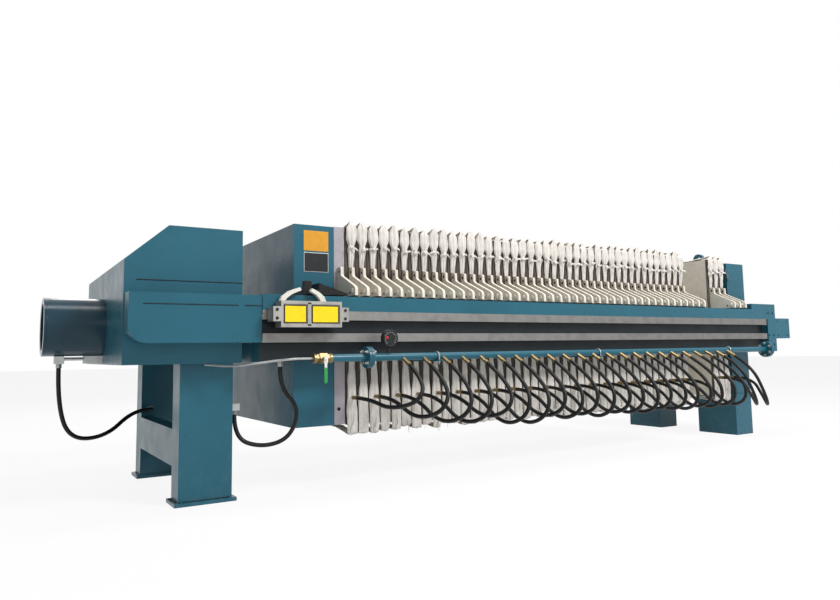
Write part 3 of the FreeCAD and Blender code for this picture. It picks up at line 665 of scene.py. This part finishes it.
def hang_lower_cloths():
    piece = Piece("lower_cloths_gathered")
    for number, x in enumerate(PLATES[1:], start=100):
        jump = random.uniform
        edge = PLATE_EDGE + 0.004
        base = PLATE_BASE
        drop = jump(0.0, 0.030)
        side_down = [
            (edge + 0.002, 0.910, 0.0150, 0.005),
            (edge + 0.003, 0.700, 0.0170, 0.006),
            (edge + 0.003, 0.600, 0.0150 + jump(-0.002, 0.002), 0.008),
            (edge + 0.005, 0.520, 0.0210 + jump(-0.003, 0.003), 0.009),
            (edge + 0.006, 0.440, 0.0270 + jump(-0.003, 0.002), 0.010),
            (edge + 0.007, 0.360, 0.0290 + jump(-0.003, 0.002), 0.011),
            (edge + 0.008, 0.300, 0.0285, 0.011),
            (edge + 0.006, base - 0.020 - drop, 0.0270 + jump(-0.005, 0.003), 0.008),
            (edge - 0.030, base - 0.028 - drop * 0.6, 0.0240, 0.006),
        ]
        stops = [(y, z, half, bulge) for y, z, half, bulge in side_down]
        for y in (0.36, 0.18, 0.0, -0.18, -0.36):
            stops.append((y, base - 0.012 - jump(0.0, 0.012), 0.025 + jump(-0.003, 0.003), 0.007))
        for y, z, half, bulge in reversed(side_down):
            stops.append((-y, z, half, bulge))
        cloth_strip(piece, x, spine_between(stops, 4), number)
    area = sum(face.calc_area() for face in piece.mesh.faces)
    made = piece.done("frame", "filter_cloth", smooth=True, replaces=("lower_cloths",))


def tie_cloths():
    """A knot with two loose tails where each cloth is tied, and torn strips under the pack."""
    knots = Piece("cloth_knots")
    tails = Piece("cloth_tails")
    for x in PLATES[1:]:
        for side in SIDES:
            jump = random.uniform
            z = 1.200 + jump(-0.012, 0.012)
            centre = Vector((x + jump(-0.008, 0.008), off(side, PLATE_EDGE + 0.024), z))
            shape = Matrix.Translation(centre) @ Matrix.Diagonal((0.014, 0.008, 0.010 + jump(0, 0.004), 1))
            bmesh.ops.create_icosphere(knots.mesh, subdivisions=2, radius=1.0, matrix=shape)
            for lean in (-1, 1):
                reach = lean * jump(0.018, 0.034)
                slope = jump(-0.012, 0.016)
                hang = jump(0.0, 0.02)
                rows = []
                for step in range(7):
                    t = step / 6
                    y = off(side, PLATE_EDGE + 0.028 + 0.008 * math.sin(t * 3))
                    spot = Vector((centre.x + reach * t, y, z + slope * t - hang * t * t))
                    half = Vector((0, 0, 0.006 - 0.002 * t))
                    rows.append([spot - half, spot + half * 0.4 + Vector((0, 0.002 * side, 0)), spot + half])
                tails.grid(rows)
    for x in PLATES[1:]:
        for side in SIDES:
            if random.random() < 0.45:
                continue
            jump = random.uniform
            start = Vector((x + jump(-0.02, 0.02), off(side, PLATE_EDGE + 0.022), jump(0.31, 0.36)))
            length = jump(0.05, 0.11)
            lean = jump(-0.02, 0.02)
            rows = []
            for step in range(8):
                t = step / 7
                along, out = 0.004 * math.sin(6 * t), 0.006 * math.sin(4 * t)
                spot = start + Vector((lean * t + along, side * out, -length * t))
                half = Vector((0.005 - 0.002 * t, 0.002, 0))
                rows.append([spot - half, spot, spot + half])
            tails.grid(rows)
    knots.done("frame", "filter_cloth", smooth=True)
    area = sum(face.calc_area() for face in tails.mesh.faces)
    made = tails.done("frame", "filter_cloth", smooth=True)


# ---- plates -----------------------------------------------------------------------------------------
def fit_handles():
    """Each plate's pair of handles, with the lifting hole (black discs of painted shade on both faces, not
    cut), a boss and the slide pad under the end.
    """
    handles = Piece("plate_handles_moulded")
    holes = Piece("plate_handle_hole_shades")
    pads = Piece("plate_handle_pads")
    thick = 0.016
    rest = BEAM_TOP + 0.008
    outline = [(0.500, rest), (0.500, 1.091), (0.532, 1.091), (0.536, 1.085), (0.537, 1.052), (0.545, 1.043),
               (0.686, 0.981), (0.697, 0.972), (0.700, 0.962), (0.700, rest)]
    for x in PLATES:
        for side in SIDES:
            points = [(x - thick / 2, off(side, distance), z) for distance, z in outline]
            handles.prism(points, (thick, 0, 0))
            boss = off(side, 0.672)
            handles.rod((x - thick / 2 - 0.007, boss, 0.958), (x, boss, 0.958), 0.010, 16)
            for face in (-1, 1):
                start = x + face * (thick / 2 - 0.001)
                end = x + face * (thick / 2 + 0.0004)
                # painted shade: the holes are not cut, thin black discs on both faces stand for them
                holes.rod((start, off(side, 0.518), 1.068), (end, off(side, 0.518), 1.068), 0.0075, 16)
                holes.rod((start, off(side, 0.640), 0.950), (end, off(side, 0.640), 0.950), 0.006, 12)
            pads.box((x - 0.013, off(side, 0.690 if side < 0 else 0.560), BEAM_TOP + 0.0002),
                     (x + 0.013, off(side, 0.560 if side < 0 else 0.690), rest))
    handles.done("frame", "white_plate", bevel=0.0015, replaces=("plate_handles",))
    holes.done("frame", "shadow_black")
    pads.done("frame", "black_rubber", bevel=0.001)


# ---- frame details ------------------------------------------------------------------------------------
def shade_beam_channels():
    """A near-black sheet of painted shade on the beam web behind and under the shifter rails, on both beams.
    """
    shade_sheet = Piece("rail_channel_painted_shade")
    start, end = low("side_beam_near").x, high("shifter_rails").x + 0.010
    for side in SIDES:
        near, far = sorted((off(side, 0.6600), off(side, 0.6612)))
        # painted shade: a near-black sheet stands for the shadow in the channel between and below the rails
        shade_sheet.box((start, near, BEAM_BASE), (end, far, 0.854))
    shade_sheet.done("frame", "weld_and_painted_shade_black")


def weld(piece, start, end, wide=0.0032, step=0.007):
    """A rippled bead between two points."""
    start, end = Vector(start), Vector(end)
    count = max(int((end - start).length / step), 2)
    way = (end - start) / count
    for index in range(count):
        if noise.noise(start * 7 + way * index * 9) < -0.28:
            continue
        centre = start + way * (index + 0.5)
        swell = wide * (0.8 + 0.5 * abs(noise.noise(centre * 60)))
        turn = way.to_track_quat("X", "Z").to_matrix().to_4x4()
        shape = Matrix.Translation(centre) @ turn @ Matrix.Diagonal((step * 0.62, swell, swell, 1))
        bmesh.ops.create_icosphere(piece.mesh, subdivisions=1, radius=1.0, matrix=shape)


def weld_frame():
    beads = Piece("weld_beads")
    for side in SIDES:
        for first, last, distance, z in (
            (0.306, 0.803, 0.5955, 0.981),
            (0.540, 0.803, 0.5960, 0.922),
            (0.360, 0.858, 0.7003, 0.872),
            (0.560, 0.786, 0.5075, 0.017),
        ):
            weld(beads, at(first, distance, z, side), at(last, distance, z, side))
        weld(beads, at(0.5535, 0.385, 0.017, side), at(0.5535, 0.505, 0.017, side))
        weld(beads, at(0.861, 0.6995, 0.712, side), at(0.861, 0.6995, 0.918, side))
    beads.done("frame", "weld_and_painted_shade_black", smooth=True)


def bolt(piece, place, way, size=0.010, tall=0.006):
    way = Vector(way)
    piece.rod(place, Vector(place) + way * 0.0015, size * 0.72, 16)
    piece.rod(place, Vector(place) + way * tall, size * 0.55, 6)


def bolt_frame():
    bolts = Piece("frame_bolts")
    axis = at(0, 0, AXIS_Z)
    for index in range(12):
        angle = math.tau * (index + 0.5) / 12
        across, up = math.cos(angle), math.sin(angle)
        spot = Vector((MACHINE_X + 0.825, axis.y + 0.156 * across, AXIS_Z + 0.156 * up))
        bolt(bolts, spot, (1, 0, 0), 0.020, 0.014)
        if index % 3 == 0:
            spot = Vector((MACHINE_X + 4.880, axis.y + 0.085 * across, AXIS_Z + 0.085 * up))
            bolt(bolts, spot, (-1, 0, 0), 0.016, 0.010)
    for side in SIDES:
        for x in (4.745, 4.800):
            for z in (0.665, 0.735, 0.900):
                bolt(bolts, at(x, 0.700, z, side), (0, side, 0), 0.012, 0.007)
        for x in (4.86, 4.98):
            for z in (0.735, 0.838):
                bolt(bolts, at(x, 0.700, z, side), (0, side, 0), 0.009, 0.005)
        for x in (0.566, 0.778):
            bolt(bolts, at(x, 0.517, 0.016, side), (0, 0, 1), 0.010, 0.007)
    bolts.done("frame", "teal_paint", bevel=0.0006)


def finish_cylinder():
    rim = Piece("cylinder_rim")
    left = low("cylinder_barrel").x
    rim.torus((left + 0.001, CENTRE_Y, AXIS_Z), (1, 0, 0), 0.1325, 0.0030, steps=72, sides=8)
    rim.done("frame", "machined_steel", smooth=True)
    rings = Piece("cylinder_rings")
    for x, radius, tube in ((0.306, 0.1385, 0.0045), (0.052, 0.1376, 0.0012)):
        rings.torus((MACHINE_X + x, CENTRE_Y, AXIS_Z), (1, 0, 0), radius, tube, steps=72, sides=8)
    rings.done("frame", "dark_paint", smooth=True)


def label(name, lowest, highest, material, body):
    """A bare plate with softened edges."""
    plate = Piece(name)
    plate.box(lowest, highest)
    plate.done(body, material, bevel=0.0008)


def fix_labels():
    face = off(-1, 0.508)
    frames = Piece("follower_label_frame")
    frames.box((MACHINE_X + 1.136, face - 0.0022, 1.060), (MACHINE_X + 1.268, face, 1.158))
    frames.done("follower", "galvanised", bevel=0.0006)
    for name, first, last, base, top, proud, sunk, material in (
        ("follower_label_amber", 1.135, 1.268, 1.166, 1.268, 0.0018, 0.0, "amber_label"),
        ("follower_label_dark", 1.139, 1.265, 1.063, 1.155, 0.0032, 0.001, "dark_label"),
    ):
        lowest = (MACHINE_X + first, face - proud, base)
        label(name, lowest, (MACHINE_X + last, face - sunk, top), material, "follower")
    left, right = low("shifter_carriage_near").x, high("shifter_carriage_near").x
    base, top = low("shifter_carriage_near").z, high("shifter_carriage_near").z
    halves = ((left + 0.050, left + 0.158), (left + 0.182, right - 0.050))
    for side, name in ((-1, "near"), (1, "far")):
        dark = Piece(f"shifter_panels_{name}")
        yellow = Piece(f"shifter_labels_{name}")
        bolts = Piece(f"shifter_bolts_{name}")
        floor, outer = 0.776, 0.782
        for first, last in halves:
            y = sorted((off(side, floor), off(side, floor + 0.0025)))
            dark.box((first, y[0], base + 0.018), (last, y[1], top - 0.018))
            y = sorted((off(side, floor + 0.002), off(side, floor + 0.0040)))
            yellow.box((first + 0.005, y[0], base + 0.023), (last - 0.005, y[1], top - 0.023))
        for x in (left + 0.018, right - 0.018):
            for z in (base + 0.040, top - 0.040):
                bolt(bolts, Vector((x, off(side, outer), z)), (0, side, 0), 0.010, 0.006)
        for x in (left + 0.166, left + 0.174):
            for z in (base + 0.010, top - 0.010):
                bolt(bolts, Vector((x, off(side, outer), z)), (0, side, 0), 0.006, 0.003)
        dark.done(f"shifter_{name}", "dark_label", bevel=0.0006)
        yellow.done(f"shifter_{name}", "yellow_label", bevel=0.0005)
        bolts.done(f"shifter_{name}", "gauge_black", bevel=0.0005)


def mark_end_plate():
    hole = Piece("end_plate_hole_shade")
    spot = at(1.327, 0.500, 0.377)
    # painted shade: a thin black disc stands for the hole, which is not cut
    hole.rod(spot + Vector((0, 0.001, 0)), spot + Vector((0, -0.0006, 0)), 0.009, 24)
    hole.done("frame", "shadow_black")


def hang_strip():
    """The loose tie of the last cloth, by the head."""
    strip = Piece("cloth_strip_by_head")
    rows = []
    for step in range(13):
        t = step / 12
        sway = 0.006 * math.sin(6 * t)
        spot = at(4.537 + 0.038 * t, 0.505 + 0.015 * t + sway, 1.239 - 0.096 * t)
        half = Vector((0.002, 0.008, 0.003))
        rows.append([spot - half, spot, spot + half])
    strip.grid(rows)
    strip.done("frame", "filter_cloth", smooth=True)


# ---- manifold details ---------------------------------------------------------------------------------
def detail_manifold():
    grooves = Piece("flange_gaskets")
    bolts = Piece("flange_bolts")
    for x, radius, reach, count in ((1.348, 0.050, 0.014, 4), (4.558, 0.056, 0.016, 6)):
        centre = Vector((MACHINE_X + x, PIPE_Y, PIPE_Z))
        grooves.rod(centre - Vector((0.0012, 0, 0)), centre + Vector((0.0012, 0, 0)), radius + 0.0006, 48)
        for index in range(count):
            angle = math.tau * (index + 0.5) / count
            spoke = Vector((0, math.cos(angle), math.sin(angle))) * (radius - 0.014)
            for way in (-1, 1):
                bolt(bolts, centre + spoke + Vector((way * reach, 0, 0)), (way, 0, 0), 0.015, 0.009)
            shank = Vector((reach + 0.016, 0, 0))
            bolts.rod(centre + spoke - shank, centre + spoke + shank, 0.0042, 10)
    grooves.done("frame", "gauge_black")
    bolts.done("frame", "galvanised", bevel=0.0005)
    clamps = Piece("pipe_u_bolts")
    for x in (1.735, 2.865, 4.110):
        centre = Vector((MACHINE_X + x, PIPE_Y, PIPE_Z))
        clamps.torus(centre, (1, 0, 0), PIPE_RADIUS + 0.004, 0.0035, 0, math.pi, 20, 8)
        for y in (-1, 1):
            leg = centre + Vector((0, y * (PIPE_RADIUS + 0.004), 0))
            clamps.rod(leg, leg - Vector((0, 0, 0.040)), 0.0035, 10)
            bolt(clamps, leg - Vector((0, 0, 0.0262)), (0, 0, -1), 0.010, 0.006)
    clamps.done("frame", "galvanised", smooth=False)


def detail_gauge():
    lowest, highest = low("pressure_gauge"), high("pressure_gauge")
    centre = Vector(((lowest.x + highest.x) / 2, lowest.y, highest.z - 0.040))
    bezel = Piece("gauge_bezel")
    bezel.torus(centre, (0, 1, 0), 0.0365, 0.0038, steps=48, sides=10)
    bezel.torus(centre + Vector((0, 0.022, 0)), (0, 1, 0), 0.0398, 0.0020, steps=48, sides=8)
    bezel.done("frame", "gauge_black", smooth=True)
    dial = Piece("gauge_dial")
    dial.rod(centre, centre - Vector((0, 0.0008, 0)), 0.0345, 48)
    dial.done("frame", "dark_label")
    ticks = Piece("gauge_ticks")
    for index in range(17):
        angle = math.radians(-45 + 270 * index / 16)
        way = Vector((math.cos(angle), 0, math.sin(angle)))
        across = Vector((-math.sin(angle), 0, math.cos(angle))) * 0.0005
        start, end = centre + way * 0.0265, centre + way * (0.0315 if index % 4 else 0.0325)
        lift = Vector((0, -0.0011, 0))
        corners = (start - across, end - across, end + across, start + across)
        ticks.prism([corner + lift for corner in corners], (0, 0.0003, 0))
    ticks.done("frame", "pale_dial")
    red = Piece("gauge_red_pointer")
    red.rod(centre + Vector((-0.020, -0.0010, 0.004)), centre + Vector((-0.020, -0.0040, 0.004)), 0.0065, 20)
    red.done("frame", "red_mark")


def detail_valve():
    """The lever as a pressed steel arm with a dipped green sleeve, and a lock nut on the stem."""
    x = (low("valve_lever").x + high("valve_lever").x) / 2
    y, z = low("valve_lever").y, PIPE_Z
    arm = Piece("valve_lever_arm")
    outline = [
        (x - 0.010, y, z + 0.012),
        (x + 0.010, y, z + 0.012),
        (x + 0.010, y, z - 0.010),
        (x + 0.006, y, z - 0.030),
        (x + 0.006, y, z - 0.060),
        (x - 0.006, y, z - 0.060),
        (x - 0.006, y, z - 0.030),
        (x - 0.010, y, z - 0.010),
    ]
    arm.prism(outline, (0, 0.003, 0))
    arm.rod((x, y, z), (x, y - 0.005, z), 0.009, 6)
    arm.rod((x, y, z), (x, y + 0.010, z), 0.006, 16)
    arm.done("lever", "cream_paint", bevel=0.0006)
    sleeve = Piece("valve_lever_sleeve")
    rows = []
    for step in range(15):
        t = step / 14
        half = 0.0085 * min(1.0, 0.55 + 3 * t, 0.45 + 4.5 * (1 - t))
        thick = 0.0030 * min(1.0, 0.6 + 3 * t, 0.4 + 4.5 * (1 - t))
        row = []
        for side in range(17):
            angle = math.tau * side / 16
            across, out = half * math.cos(angle), thick * math.sin(angle)
            row.append(Vector((x + across, y + 0.0015 + out, z - 0.040 - 0.072 * t)))
        rows.append(row)
    sleeve.grid(rows)
    sleeve.done("lever", "green_sleeve", smooth=True, replaces=("valve_lever",))
    collar = Piece("valve_unions")
    for start, end, radius in ((1.070, 1.084, 0.0195), (1.146, 1.160, 0.0195)):
        first = (MACHINE_X + start, PIPE_Y, PIPE_Z)
        collar.rod(first, (MACHINE_X + end, PIPE_Y, PIPE_Z), radius + 0.0025, 24)
    collar.done("frame", "brass", bevel=0.001)


MATERIALS = make_materials()
place_camera()
light_world()
lay_floor()
dress_nodes()
hang_squeeze_hoses()
hang_hydraulic_hoses()
hang_upper_cloths()
hang_lower_cloths()
tie_cloths()
fit_handles()
shade_beam_channels()
weld_frame()
bolt_frame()
finish_cylinder()
fix_labels()
mark_end_plate()
hang_strip()
detail_manifold()
detail_gauge()
detail_valve()
